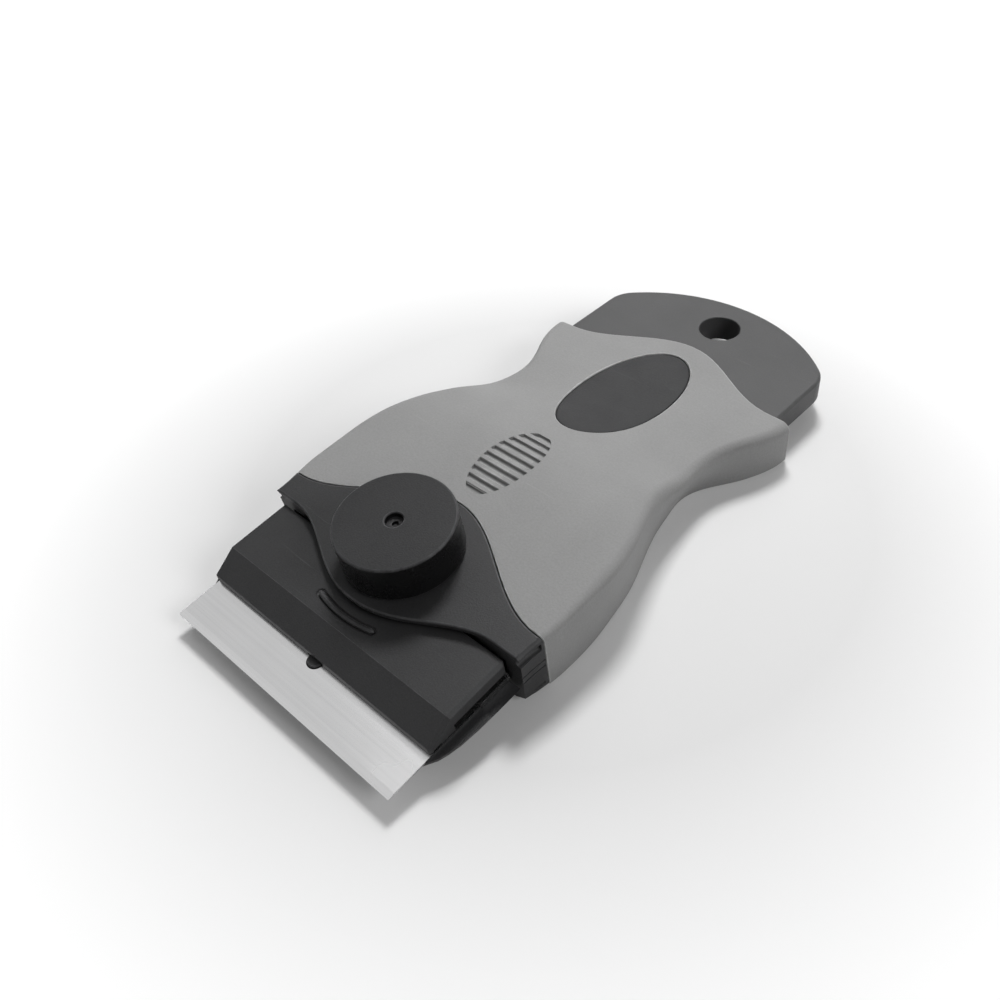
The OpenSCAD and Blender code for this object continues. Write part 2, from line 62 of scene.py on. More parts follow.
# The grip, its pad and the core with its tongue
GRIP_T, SEAM, GAP = 1.3, 0.1, 0.05
APRON_RISE, APRON_W = 6.4, 17.0
PAD_Y, PAD_A, PAD_B, PAD_LOW = 62.0, 12.3, 6.3, 0.12
VENT_Y = 39.1
ROOT_Y, CORE_REAR = 58.2, 70.2
TONGUE_HALF, TONGUE_LOW, TONGUE_Z = 18.2, 2.4, 6.0
TONGUE_R, CORNER_R = 24.9, 4.6
HANG_Y, HANG_R = 84.6, 3.0

# The cover
BAND_Y = 22.15
COVER_Z, LIP_Z, BAND_Z = 4.6, 3.85, 2.3
LIP_RISE, LIP_W = 5.6, 17.0
COLLAR_RISE, COLLAR_W = 8.6, 20.5

# The knob and its bolt
KNOB_Y, KNOB_R, KNOB_LOW, KNOB_TOP = 21.6, 7.4, 4.9, 10.1
RECESS_R, RECESS_Z = 6.4, 5.55
BORE_R, BORE_TOP, PEEP_R = 3.2, 8.45, 1.1
BOLT_R, BOLT_TOP, HEAD_HALF, HEAD_T = 2.0, 8.35, 3.5, 1.1

# The jaws, from the nose to the hinge
NOSE_Y, JAW_Y, JAW_BACK = 4.6, 6.2, 18.2
JAW_HALF, JAW_LOW, JAW_T = 19.15, 0.03, 3.2
JAW_EDGE, JAW_SLOPE = 1.1, 3.4
RIB_R, RIB_Y = 17.4, 28.7
LOWER_TOP, LOWER_Z = -0.25, -2.15
SLIDE_HALF, SLIDE_END = 18.2, 26.5
TAIL_HALF, TAIL_END, TAIL_Z = 12.8, 41.2, 1.5
SLOT_HALF, SLOT_END = 2.3, 33.6
PIN_Y, PIN_Z, PIN_R = 39.2, -0.3, 0.75
FORK_R, KNUCKLE, KNUCKLE_Z = 2.0, 6.2, 1.2
SIDE_GAP = 0.3

# How finely shapes are drawn
TURNS = 4
GRIP_FLATS, GRIP_TURNS = 28, 8
PAD_SIDES = 96

# How far cutters reach past the scraper's sides, and the height where the cover's width is taken
PAST = 30
COVER_TOP = 9


def lay(p):
    return p[0] * MM, (p[1] - MIDDLE) * MM, p[2] * MM


def lean(p):
    along, up = p[1] - COVER_Y, p[2]
    y = COVER_Y + cos(PITCH) * along - sin(PITCH) * up
    return lay((p[0], y, SEAT + sin(PITCH) * along + cos(PITCH) * up))


def lean_y(z, place):
    """Where a line at place along the leaning parts is along the handle, at the handle's height z."""
    return COVER_Y + (place - COVER_Y - sin(PITCH) * (z - SEAT)) / cos(PITCH)


def ease(t):
    return (1 - cos(pi * min(max(t, 0), 1))) / 2


def ramp(y, start, length):
    """Rises gently from 0 at start to 1 at the end of a length."""
    return ease((y - start) / length)


def bell(x, width, power=1.0):
    return (1 + cos(pi * (abs(x) / width) ** power)) / 2 if abs(x) < width else 0.0


def cubic(y, y0, z0, s0, y1, z1, s1):
    """A curve between two places with their heights and slopes."""
    length = y1 - y0
    t = (y - y0) / length
    return (z0 * (2 * t**3 - 3 * t**2 + 1) + length * s0 * (t**3 - 2 * t**2 + t)
            + z1 * (3 * t**2 - 2 * t**3) + length * s1 * (t**3 - t**2))


def half_w(y):
    """Half width of the handle."""
    widest = FRONT_HALF + SWELL
    if y < SWELL_Y:
        return FRONT_HALF + SWELL * ramp(y, COVER_Y, SWELL_Y - COVER_Y)
    if y < WAIST_Y:
        return widest - (widest - WAIST_HALF) * ease(((y - SWELL_Y) / (WAIST_Y - SWELL_Y)) ** 1.25)
    return WAIST_HALF + (REAR_HALF - WAIST_HALF) * ramp(y, WAIST_Y, REAR_Y - WAIST_Y)


def front_z(y):
    """Height of the cover's leaning top."""
    return SEAT + COVER_Z / cos(PITCH) + tan(PITCH) * (y - COVER_Y)


def back_z(y):
    """Height of the handle's back."""
    line_end = KNOB_Y + COLLAR_RISE
    if y < line_end:
        return front_z(y)
    if y < CREST_Y:
        return cubic(y, line_end, front_z(line_end), tan(PITCH), CREST_Y, CREST_Z, 0)
    if y < WAIST_Y:
        return cubic(y, CREST_Y, CREST_Z, 0, WAIST_Y, WAIST_Z, WAIST_SLOPE)
    if y < REAR_Y:
        return cubic(y, WAIST_Y, WAIST_Z, WAIST_SLOPE, REAR_Y, REAR_Z, REAR_SLOPE)
    return REAR_Z + REAR_SLOPE * (y - REAR_Y)


def lip_edge(x):
    return COVER_Y - LIP_RISE * bell(x, LIP_W, 1.1)


def collar_edge(x):
    return BAND_Y + COLLAR_RISE * bell(x, COLLAR_W)


def apron_edge(x):
    return REAR_Y + APRON_RISE * bell(x, APRON_W)


# Outlines, counter-clockwise lists of points

def quarter(turns=TURNS):
    """The angles of a quarter turn taken in steps."""
    return [pi / 2 * i / turns for i in range(turns + 1)]


def box_line(x0, x1, y0, y1, r=0.0):
    """A rectangle with rounded corners."""
    if r <= 0:
        return [(x0, y0), (x1, y0), (x1, y1), (x0, y1)]
    line = []
    centres = (x1 - r, y0 + r), (x1 - r, y1 - r), (x0 + r, y1 - r), (x0 + r, y0 + r)
    for (cx, cy), start in zip(centres, (-90, 0, 90, 180)):
        for i in range(TURNS + 1):
            a = radians(start + 90 * i / TURNS)
            line.append((cx + r * cos(a), cy + r * sin(a)))
    return line


def oval_line(x, y, a, b, count=48):
    return [(x + a * cos(2 * pi * i / count), y + b * sin(2 * pi * i / count)) for i in range(count)]


def bent(points, radii, turns):
    """An outline with its corners rounded, each to its own radius."""
    line = []
    for i, (corner, r) in enumerate(zip(points, radii)):
        c = np.array(corner)
        a, b = np.array(points[i - 1]) - c, np.array(points[(i + 1) % len(points)]) - c
        a, b = a / np.linalg.norm(a), b / np.linalg.norm(b)
        half = np.arccos(np.clip(a @ b, -1, 1)) / 2
        centre = c + (a + b) / np.linalg.norm(a + b) * r / np.sin(half)
        start, end = c + a * r / np.tan(half), c + b * r / np.tan(half)
        t0 = atan2(*(start - centre)[::-1])
        sweep = (atan2(*(end - centre)[::-1]) - t0 + pi) % (2 * pi) - pi
        for k in range(turns + 1):
            t = t0 + sweep * k / turns
            line.append((centre[0] + r * cos(t), centre[1] + r * sin(t)))
    return line


def drawn_in(line, d):
    """An outline drawn in by d all round."""
    points = np.array(line, float)
    ahead = np.roll(points, -1, 0) - points
    ahead /= np.linalg.norm(ahead, axis=1)[:, None]
    behind = np.roll(ahead, 1, 0)
    n0, n1 = (np.c_[-way[:, 1], way[:, 0]] for way in (behind, ahead))
    return points + d * (n0 + n1) / (1 + (n0 * n1).sum(1))[:, None]


# Shapes

def linked(name, data):
    obj = bpy.data.objects.new(name, data)
    bpy.context.scene.collection.objects.link(obj)
    return obj


def shape(name, verts, faces):
    mesh = bpy.data.meshes.new(name)
    mesh.from_pydata(verts, [], faces)
    return linked(name, mesh)


def skin(name, rings, place):
    """Joins rings of points into one closed shape."""
    n = len(rings[0])
    verts = [place(tuple(p)) for ring in rings for p in ring]
    faces = [(k * n + i, k * n + (i + 1) % n, (k + 1) * n + (i + 1) % n, (k + 1) * n + i)
             for k in range(len(rings) - 1) for i in range(n)]
    faces += [tuple(range(n - 1, -1, -1)), tuple(range((len(rings) - 1) * n, len(rings) * n))]
    return shape(name, verts, faces)


def level(z):
    """A height as a function of a place, where it isn't one already."""
    return z if callable(z) else lambda x, y: z


def slab(name, line, low, high, place, under=0.0, over=0.0):
    """Stands an outline up from low to high, with its edges rounded under and over."""
    low, high, angles, rings = level(low), level(high), quarter(), []
    for a in (angles if under else angles[-1:]):
        ring = drawn_in(line, under * (1 - sin(a)))
        rings.append([(x, y, low(x, y) + under * (1 - cos(a))) for x, y in ring])
    for a in (angles if over else angles[:1]):
        ring = drawn_in(line, over * (1 - cos(a)))
        rings.append([(x, y, high(x, y) - over * (1 - sin(a))) for x, y in ring])
    return skin(name, rings, place)


def box(x0, x1, y0, y1, z0, z1, r=0.0, under=0.0, over=0.0, place=lean):
    return slab("block", box_line(x0, x1, y0, y1, r), z0, z1, place, under, over)


def settle(obj):
    """Turns the modifiers of a shape into its plain mesh."""
    bpy.context.view_layer.update()
    mesh = bpy.data.meshes.new_from_object(obj.evaluated_get(bpy.context.evaluated_depsgraph_get()))
    old, name = obj.data, obj.data.name
    obj.modifiers.clear()
    obj.data = mesh
    bpy.data.meshes.remove(old)
    mesh.name = name
    return obj


def joined(obj, others, how):
    for other in others:
        cut = obj.modifiers.new(how, "BOOLEAN")
        cut.operation, cut.solver, cut.object = how, "MANIFOLD", other
        settle(obj)
        bpy.data.objects.remove(other)
    return obj


def fuse(obj, *others):
    return joined(obj, others, "UNION")


def carve(obj, *others):
    return joined(obj, others, "DIFFERENCE")


def tidy(obj, angle=38, merge=2e-7):
    """Cleans a finished shape's mesh and smooths it, with its sharper edges kept."""
    net = bmesh.new()
    net.from_mesh(obj.data)
    bmesh.ops.remove_doubles(net, verts=net.verts, dist=merge)
    bmesh.ops.dissolve_degenerate(net, edges=net.edges, dist=merge)
    mark_edges(net)
    net.to_mesh(obj.data)
    net.free()
    obj.data.shade_smooth()
    obj.data.set_sharp_from_angle(angle=radians(angle))
    weigh = obj.modifiers.new("weigh", "WEIGHTED_NORMAL")
    weigh.keep_sharp = True
    return settle(obj)


def mark_edges(net, soft=1.2, sharp=3.5, almost_level=5):
    """Notes on each face how tightly it is bent outwards, from 0 on flats and hollows to 1 on the round of
    an edge, and how steep it is, from 0 where it faces up or down to 1 on a side. The bend is shared with
    neighbours that lie almost level with the face, so a small face of a flat counts as flat."""
    # The bend stored here lightens edges in the plastics, partly as wear and partly as a painted highlight
    rubbed_and_highlit = net.faces.layers.float.new("edge_wear")
    steep = net.faces.layers.float.new("steepness")
    net.faces.index_update()
    areas = [face.calc_area() for face in net.faces]
    bends = [0.0] * len(areas)
    patches = [{face.index} for face in net.faces]
    for edge in net.edges:
        if len(edge.link_faces) != 2:
            continue
        angle = edge.calc_face_angle_signed(0.0)
        one, other = (face.index for face in edge.link_faces)
        if abs(angle) < radians(almost_level):
            patches[one].add(other)
            patches[other].add(one)
        else:
            bends[one] += angle * edge.calc_length()
            bends[other] += angle * edge.calc_length()
    for face, patch in zip(net.faces, patches):
        face[steep] = 1 - ramp(abs(face.normal.z), 0.25, 0.5)
        area = sum(areas[i] for i in sorted(patch))
        tight = sum(bends[i] for i in sorted(patch)) / (2 * area) * MM if area > 1e-12 else 0.0
        face[rubbed_and_highlit] = min(max((tight - soft) / (sharp - soft), 0.0), 1.0)


def place_piece(obj, name, body, slot, *nodes):
    """Names and finishes a piece, seats it on its body and hides the nodes that it stands for."""
    obj.name = obj.data.name = name
    paint(obj, slot)
    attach(obj, body)
    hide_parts(*nodes)


def paint(obj, finish):
    obj.data.materials.clear()
    obj.data.materials.append(finishes[finish])


# Node trees, for shapes and for materials

def add(tree, kind, ins=None, **props):
    """Adds a node. Its inputs take a number, a colour, a socket, or a node for its first output."""
    node = tree.nodes.new(kind)
    for key, value in props.items():
        setattr(node, key, value)
    for key, value in (ins or {}).items():
        if isinstance(value, bpy.types.Node):
            value = value.outputs[0]
        if isinstance(value, bpy.types.NodeSocket):
            tree.links.new(value, node.inputs[key])
        else:
            node.inputs[key].default_value = value
    return node


def maths(tree, how, a, b=0.0):
    return add(tree, "ShaderNodeMath", {0: a, 1: b}, operation=how).outputs[0]


def times(tree, a, b):
    return maths(tree, "MULTIPLY", a, b)


def minus(tree, a, b):
    return maths(tree, "SUBTRACT", a, b)


def remap(tree, value, low, high, to_low, to_high):
    ins = {"Value": value, "From Min": low, "From Max": high, "To Min": to_low, "To Max": to_high}
    return add(tree, "ShaderNodeMapRange", ins).outputs["Result"]


def noise(tree, where, scale, detail, rough=0.5):
    """Soft noise, with about as many lumps in a metre as its scale."""
    ins = {"Vector": where, "Scale": scale, "Detail": detail, "Roughness": rough}
    return add(tree, "ShaderNodeTexNoise", ins).outputs["Fac"]


def evened(tree, value, to_low=0, to_high=1):
    """Spreads the middle of a noise, where nearly all of it lies, between two values."""
    return remap(tree, value, 0.3, 0.7, to_low, to_high)


def mixed(tree, share, one, other):
    """A colour between two."""
    return add(tree, "ShaderNodeMix", {"Factor": share, 6: one, 7: other}, data_type="RGBA").outputs[2]


def shaded(colour, share):
    return (*(min(c * share, 1) for c in colour), 1)


def attribute(tree, name):
    return add(tree, "ShaderNodeAttribute", attribute_name=name).outputs["Fac"]


def material(name):
    mat = bpy.data.materials.new(name)
    mat.use_nodes = True
    mat.node_tree.nodes.clear()
    return mat, mat.node_tree


def own_place(tree):
    """Places in the object's own frame, for textures."""
    return add(tree, "ShaderNodeTexCoord").outputs["Object"]


def output(tree, shader):
    add(tree, "ShaderNodeOutputMaterial", {"Surface": shader})


def moulded(name, colour, rough, shine, wear_and_highlight, grain=5200, relief=0.5, mottle=0.1, scuffs=0.25, polish_and_side_shade=0.0):
    """Moulded plastic or rubber: a fine spark-eroded grain, cloudy changes of tone, a few fine scuffs and
    edges made brighter, partly as wear from handling and partly as a painted highlight along their rounds.
    With some polish its sides are smoother and get painted shade, a darker colour."""
    mat, tree = material(name)
    where = own_place(tree)
    sides = attribute(tree, "steepness")
    fine = noise(tree, where, grain, 3, 0.55)

    clouds = evened(tree, noise(tree, where, 70, 4, 0.6))
    shade = mixed(tree, clouds, shaded(colour, 1 - mottle), shaded(colour, 1 + mottle))
    # Painted shade: with polish, steep faces get a darker colour; the grain specks are scaled by it too
    painted_side_shade = remap(tree, sides, 0, 1, 1, 1 - polish_and_side_shade)
    speck_and_side_shade = times(tree, evened(tree, fine, 1 - mottle, 1 + mottle), painted_side_shade)
    grain_and_side_shade = add(tree, "ShaderNodeVectorMath", {0: shade, "Scale": speck_and_side_shade}, operation="SCALE")

    slant, long_and_thin = (0, 0, radians(28)), (40, 900, 300)
    turned = add(tree, "ShaderNodeMapping", {"Vector": where, "Rotation": slant, "Scale": long_and_thin})
    scratch = remap(tree, noise(tree, turned, 1, 3, 0.7), 0.66, 0.72, 0, scuffs)
    patchy = remap(tree, noise(tree, where, 900, 3, 0.6), 0.35, 0.6, 0.35, 1)
    # Edges are lightened partly as wear from handling and partly as a painted highlight along their rounds
    rubbed_and_highlit = times(tree, times(tree, attribute(tree, "edge_wear"), patchy), wear_and_highlight)
    worn_and_highlit = mixed(tree, maths(tree, "MAXIMUM", scratch, rubbed_and_highlit), grain_and_side_shade, shaded(colour, 2.2))

    gloss = evened(tree, noise(tree, where, 220, 3), rough - 0.05, rough + 0.05)
    gloss = minus(tree, gloss, times(tree, sides, 0.3 * polish_and_side_shade))
    bump = add(tree, "ShaderNodeBump", {"Strength": relief, "Distance": 0.00004, "Height": fine})
    ins = {"Base Color": worn_and_highlit, "Roughness": gloss, "Normal": bump, "Specular IOR Level": shine}
    output(tree, add(tree, "ShaderNodeBsdfPrincipled", ins))
    return mat


def metal(name, colour, rough, along=(22, 2600, 900), brushed=0.35, streak=0.12):
    """Bright metal with fine lines drawn along one way."""
    mat, tree = material(name)
    where = own_place(tree)
    drawn = add(tree, "ShaderNodeMapping", {"Vector": where, "Scale": along})
    lines = noise(tree, drawn, 1, 5, 0.65)
    shade = mixed(tree, evened(tree, lines), shaded(colour, 1 - streak), shaded(colour, 1 + streak))
    gloss = evened(tree, noise(tree, where, 60, 3), rough - 0.06, rough + 0.06)
    bump = add(tree, "ShaderNodeBump", {"Strength": brushed, "Distance": 0.00002, "Height": lines})
    ins = {"Base Color": shade, "Metallic": 1.0, "Roughness": gloss, "Normal": bump}
    output(tree, add(tree, "ShaderNodeBsdfPrincipled", ins))
    return mat


nearly_black = (0.034, 0.034, 0.035)
# The knob's polish gives its steep sides painted shade, a darker colour, as well as a smoother finish
plastics = {
    "core_plastic": dict(
        colour=(0.06, 0.06, 0.061), rough=0.42, relief=0.35, mottle=0.07, shine=0.15, wear_and_highlight=0.25),
    "cover_plastic": dict(
        colour=nearly_black, rough=0.42, relief=0.4, mottle=0.12, shine=0.12, wear_and_highlight=0.8),
    "jaw_plastic": dict(
        colour=nearly_black, rough=0.42, relief=0.35, scuffs=0.4, shine=0.12, wear_and_highlight=0.8),
    "knob_plastic": dict(
        colour=(0.03, 0.03, 0.031), rough=0.5, mottle=0.12, shine=0.1, wear_and_highlight=0.8, polish_and_side_shade=0.75),
    "grip_rubber": dict(
        colour=(0.26, 0.26, 0.259), rough=0.62, grain=3800, relief=0.6, mottle=0.05, scuffs=0.05,
        shine=0.12, wear_and_highlight=0.5),
    "pad_rubber": dict(
        colour=(0.036, 0.036, 0.037), rough=0.6, grain=3800, relief=0.6, mottle=0.07, scuffs=0.08,
        shine=0.1, wear_and_highlight=0.0),
}
metals = {
    "blade_steel": dict(colour=(0.50, 0.50, 0.503), rough=0.22, brushed=0.08, streak=0.04),
    "fastener_steel": dict(colour=(0.55, 0.55, 0.57), rough=0.32, along=(900, 900, 300)),
    "insert_brass": dict(colour=(0.70, 0.56, 0.30), rough=0.3, along=(900, 900, 3000)),
}
finishes = {name: moulded(name, **looks) for name, looks in plastics.items()}
finishes.update({name: metal(name, **looks) for name, looks in metals.items()})


# Node trees for turned pieces and for what repeats

SOCKETS = {int: "Int", float: "Float", str: "Material", bpy.types.Object: "Object"}


def group(name, sizes):
    """A tree with named sizes as its inputs. Returns the tree and its input sockets by name."""
    tree = bpy.data.node_groups.new(name, "GeometryNodeTree")
    tree.interface.new_socket("Geometry", in_out="OUTPUT", socket_type="NodeSocketGeometry")
    for label, value in sizes.items():
        tree.interface.new_socket(label, in_out="INPUT", socket_type="NodeSocket" + SOCKETS[type(value)])
    start = tree.nodes.new("NodeGroupInput")
    return tree, {label: start.outputs[label] for label in sizes}


def grown(name, tree, sizes):
    """Makes a plain mesh of a tree, with each size set by its socket's identifier. A word names a finish."""
    obj = shape(name, [], [])
    grow = obj.modifiers.new("grow", "NODES")
    grow.node_group = tree
    for item in tree.interface.items_tree:
        if item.in_out == "INPUT":
            value = sizes[item.name]
            if isinstance(value, str):
                value = finishes[value]
            grow[item.identifier] = value * MM if isinstance(value, float) else value
    return settle(obj)


def point(tree, x=0.0, y=0.0, z=0.0):
    return add(tree, "ShaderNodeCombineXYZ", {0: x, 1: y, 2: z}).outputs[0]


def wrap_up(tree, geometry, finish):
    """Ends a tree with its instances made real and its material set."""
    real = add(tree, "GeometryNodeRealizeInstances", {0: geometry})
    done = add(tree, "GeometryNodeSetMaterial", {"Geometry": real, "Material": finish})
    add(tree, "NodeGroupOutput", {0: done})


def choose(tree, kind, values):
    """Gives each point of a line its own value, by its index."""
    index = add(tree, "GeometryNodeInputIndex")
    pick = add(tree, "GeometryNodeIndexSwitch", {"Index": index}, data_type=kind)
    while len(pick.index_switch_items) < len(values):
        pick.index_switch_items.new()
    for i, value in enumerate(values):
        if isinstance(value, bpy.types.NodeSocket):
            tree.links.new(value, pick.inputs[i + 1])
        else:
            pick.inputs[i + 1].default_value = value
    return pick


def set_out(tree, places):
    """A line of points, each at its own place."""
    line = add(tree, "GeometryNodeMeshLine", {"Count": len(places)})
    spots = choose(tree, "VECTOR", places)
    return add(tree, "GeometryNodeSetPosition", {"Geometry": line, "Position": spots})


def lathe(tree, corners, segments):
    """Turns a section round the upright axis, a line of corners that starts and ends on the axis. Each
    corner has its radius, height and rounding. The section is swept along a ring of one millimetre."""
    places = [point(tree, minus(tree, r, MM), times(tree, z, -1.0)) for r, z, _ in corners]
    section = add(tree, "GeometryNodeMeshToCurve", {"Mesh": set_out(tree, places)})
    rounding = choose(tree, "FLOAT", [e for _, _, e in corners])
    ins = {"Curve": section, "Radius": rounding, "Limit Radius": True}
    section = add(tree, "GeometryNodeFilletCurve", ins, mode="POLY")
    section.inputs["Count"].default_value = TURNS
    ring = add(tree, "GeometryNodeCurvePrimitiveCircle", {"Resolution": segments, "Radius": MM})
    swept = add(tree, "GeometryNodeCurveToMesh", {"Curve": ring, "Profile Curve": section})
    return add(tree, "GeometryNodeMergeByDistance", {"Geometry": swept, "Distance": 1e-7})


def turned(name, finish, segments, sizes, corners, also=None):
    """Grows a turned piece. corners lists names in sizes: a radius, a height and maybe a rounding."""
    sizes = {**sizes, "Axis": 0.0, "Segments": segments, "Material": finish}
    tree, size = group(name, sizes)
    section = [(size[r], size[z], size[e[0]] if e else 0.0) for r, z, *e in corners]
    body = lathe(tree, section, size["Segments"])
    wrap_up(tree, also(tree, body) if also else body, size["Material"])
    return grown(name, tree, sizes)


def trimmed(tree, body, tool, how):
    node = add(tree, "GeometryNodeMeshBoolean", operation=how, solver="MANIFOLD")
    first = "Mesh 1" if how == "DIFFERENCE" else "Mesh 2"
    tree.links.new(body.outputs[0], node.inputs[first])
    tree.links.new(tool.outputs[0], node.inputs["Mesh 2"])
    return node


def moved(obj, matrix):
    """Moves a shape's points, so that the object itself stays at the origin."""
    obj.data.transform(matrix)
    return obj


def leaning(y, z):
    """The place of a piece that leans, on the scraper's middle line."""
    return Matrix.Translation(lean((0, y, z))) @ Matrix.Rotation(PITCH, 4, "X")


def arc_bead(name, reach, half_width, height):
    """A tree that draws a bead along an arc, with its two ends run out to nothing."""
    sizes = {"Radius": RIB_R, "Reach": reach, "Half width": half_width, "Height": height,
             "Material": "jaw_plastic"}
    tree, size = group(name, sizes)
    half = maths(tree, "ARCSINE", maths(tree, "DIVIDE", size["Reach"], size["Radius"]))
    ins = {"Resolution": 64, "Radius": size["Radius"], "Start Angle": minus(tree, -pi / 2, half),
           "Sweep Angle": times(tree, half, 2.0)}
    arc = add(tree, "GeometryNodeCurveArc", ins)
    along = add(tree, "GeometryNodeSplineParameter").outputs["Factor"]
    to_end = maths(tree, "MINIMUM", along, minus(tree, 1.0, along))
    full = maths(tree, "MINIMUM", times(tree, to_end, 22.0), 1.0)
    swell = maths(tree, "MAXIMUM", maths(tree, "SQRT", full), 0.02)
    ring = add(tree, "GeometryNodeCurvePrimitiveCircle", {"Resolution": 16, "Radius": 1.0})
    stretched = point(tree, size["Half width"], size["Height"], 1.0)
    section = add(tree, "GeometryNodeTransform", {"Geometry": ring, "Scale": stretched})
    ins = {"Curve": arc, "Profile Curve": section, "Scale": swell, "Fill Caps": True}
    wrap_up(tree, add(tree, "GeometryNodeCurveToMesh", ins), size["Material"])
    return moved(grown(name, tree, sizes), leaning(RIB_Y, JAW_T))


def vent_slots(grip):
    """A tree that sets out the cutters for the vent slots: turned plugs, each at the height where a ray
    from above meets the grip, drawn out sideways into bars and trimmed to an oval. The first is wider."""
    sizes = {"Count": 10, "Spacing": 1.39, "Width": 0.7, "Half length": 3.4, "Half span": 6.85,
             "Depth": 0.44, "Floor round": 0.27, "Flare": 0.08, "Along": VENT_Y - MIDDLE, "Grip": grip,
             "Material": "grip_rubber"}
    tree, size = group("vent_slots", sizes)
    gap, flare, along, half_length = (size[label] for label in ("Spacing", "Flare", "Along", "Half length"))
    radius = times(tree, size["Width"], 0.5)
    wide = maths(tree, "ADD", radius, flare)

    half_row = times(tree, minus(tree, size["Count"], 1.0), times(tree, gap, 0.5))
    start = point(tree, 0.0, minus(tree, along, half_row), 0.1)
    ins = {"Count": size["Count"], "Offset": point(tree, 0.0, gap, 0.0), "Start Location": start}
    line = add(tree, "GeometryNodeMeshLine", ins)
    first = maths(tree, "LESS_THAN", add(tree, "GeometryNodeInputIndex").outputs[0], 0.5)
    extra = 0.8
    back = point(tree, 0.0, times(tree, times(tree, first, radius), -extra))
    line = add(tree, "GeometryNodeSetPosition", {"Geometry": line, "Offset": back})
    target = add(tree, "GeometryNodeObjectInfo", {"Object": size["Grip"]}).outputs["Geometry"]
    ins = {"Target Geometry": target, "Ray Direction": (0.0, 0.0, -1.0), "Ray Length": 1.0}
    hit = add(tree, "GeometryNodeRaycast", ins).outputs["Hit Position"]
    row = add(tree, "GeometryNodeSetPosition", {"Geometry": line, "Position": hit})

    below, mouth = minus(tree, 0.0, size["Depth"]), minus(tree, 0.0, flare)
    section = [(0.0, MM, 0.0), (wide, MM, 0.0), (wide, 0.0, 0.0), (radius, mouth, 0.0),
               (radius, below, size["Floor round"]), (0.0, below, 0.0)]
    plug = lathe(tree, section, 20)
    longer = point(tree, 1.0, maths(tree, "ADD", 1.0, times(tree, first, extra)), 1.0)
    plugs = add(tree, "GeometryNodeInstanceOnPoints", {"Points": row, "Instance": plug, "Scale": longer})
    plugs = add(tree, "GeometryNodeRealizeInstances", {0: plugs})
    spot = add(tree, "ShaderNodeSeparateXYZ", {0: add(tree, "GeometryNodeInputPosition")}).outputs
    outwards = point(tree, times(tree, maths(tree, "SIGN", spot["X"]), half_length))
    bars = add(tree, "GeometryNodeSetPosition", {"Geometry": plugs, "Offset": outwards})

    disc = add(tree, "GeometryNodeMeshCylinder", {"Vertices": 96, "Radius": 1.0, "Depth": 0.1})
    spans = point(tree, half_length, size["Half span"], 1.0)
    ins = {"Geometry": disc, "Scale": spans, "Translation": point(tree, 0.0, along)}
    oval = add(tree, "GeometryNodeTransform", ins)
    wrap_up(tree, trimmed(tree, bars, oval, "INTERSECT"), size["Material"])
    return grown("vent_slots", tree, sizes)


# The handle

def top_half(y, bulge=0.9):
    """Half width of the grip along its upper edge, which swells out over the waist."""
    swell = ramp(y, 26, 13) - ramp(y, 52, 12) + bulge * bell(y - 54, 11)
    return min(half_w(y) + swell, FRONT_HALF + SWELL - 0.01)


def foot_half(y, front_in=0.55, waist_in=0.7):
    """Half width of the grip along its foot, which is drawn in behind the cover and at the waist."""
    return half_w(y) - front_in * (1 - ramp(y, 33, 9)) - waist_in * bell(y - 58, 7)


def waist_arch(y):
    return ramp(y, 45, 9) - ramp(y, 52.5, 15)


def surface(x, y, rear_arch=0.42, waist_rise=1.2):
    """Height of the grip's top, which is flat at the cover and arched from the waist to the rear."""
    roof = (sqrt((x / top_half(y)) ** 2 + 0.04) - 0.2) / 0.82
    return back_z(y) - (rear_arch * ramp(y, 42, 14) + waist_rise * waist_arch(y)) * roof


def corner_at(y, front_r=0.8, more=0.6, taller=1.8):
    """How far the grip's upper edge is rounded, across and down."""
    across = front_r + more * ramp(y, 24, 12)
    return across, across + taller * (ramp(y, 42, 9) - ramp(y, 58, 8) - waist_arch(y))


def grip_profile(y, foot=0.5):
    """One section across the grip, counter-clockwise from the bottom left: points of x and z."""
    wide, low = top_half(y), foot_half(y)
    across, down = corner_at(y)
    edge = surface(wide - across, y)
    shares = [-1 + 2 * i / GRIP_FLATS for i in range(GRIP_FLATS + 1)]
    points = [(f * (low - foot), 0.0) for f in shares]
    turn = quarter(GRIP_TURNS)
    points += [(low - foot + foot * sin(a), foot - foot * cos(a)) for a in turn[1:]]
    points += [(low + (wide - low) * k / 4, foot + (edge - down - foot) * k / 4) for k in range(1, 4)]
    points += [(wide - across + across * cos(a), edge - down + down * sin(a)) for a in turn[:-1]]
    points += [(f * (wide - across), surface(f * (wide - across), y)) for f in reversed(shares)]
    right = points[GRIP_FLATS + 1:-GRIP_FLATS - 1]
    return points + [(-x, z) for x, z in reversed(right)]


def grip_ends(i):
    """Where the lengthwise line through point i of the sections starts and ends."""
    front, rear = 22.0, REAR_Y
    for _ in range(12):
        x, z = grip_profile(front)[i]
        front = lean_y(z, collar_edge(x) + SEAM)
        rear = apron_edge(grip_profile(rear)[i][0])
    return front, rear


def grip_places(front, rear, rows=64, front_edge=0.15, rear_edge=0.3):
    """The sections' places along one such line, each with how far its section is drawn in."""
    places = [(front + front_edge * (1 - cos(a)), front_edge * (1 - sin(a))) for a in quarter()]
    start, length = front + front_edge, rear - rear_edge - front - front_edge
    places += [(start + length * k / rows, 0.0) for k in range(1, rows)]
    return places + [(rear - rear_edge * (1 - sin(a)), rear_edge * (1 - cos(a))) for a in quarter()]


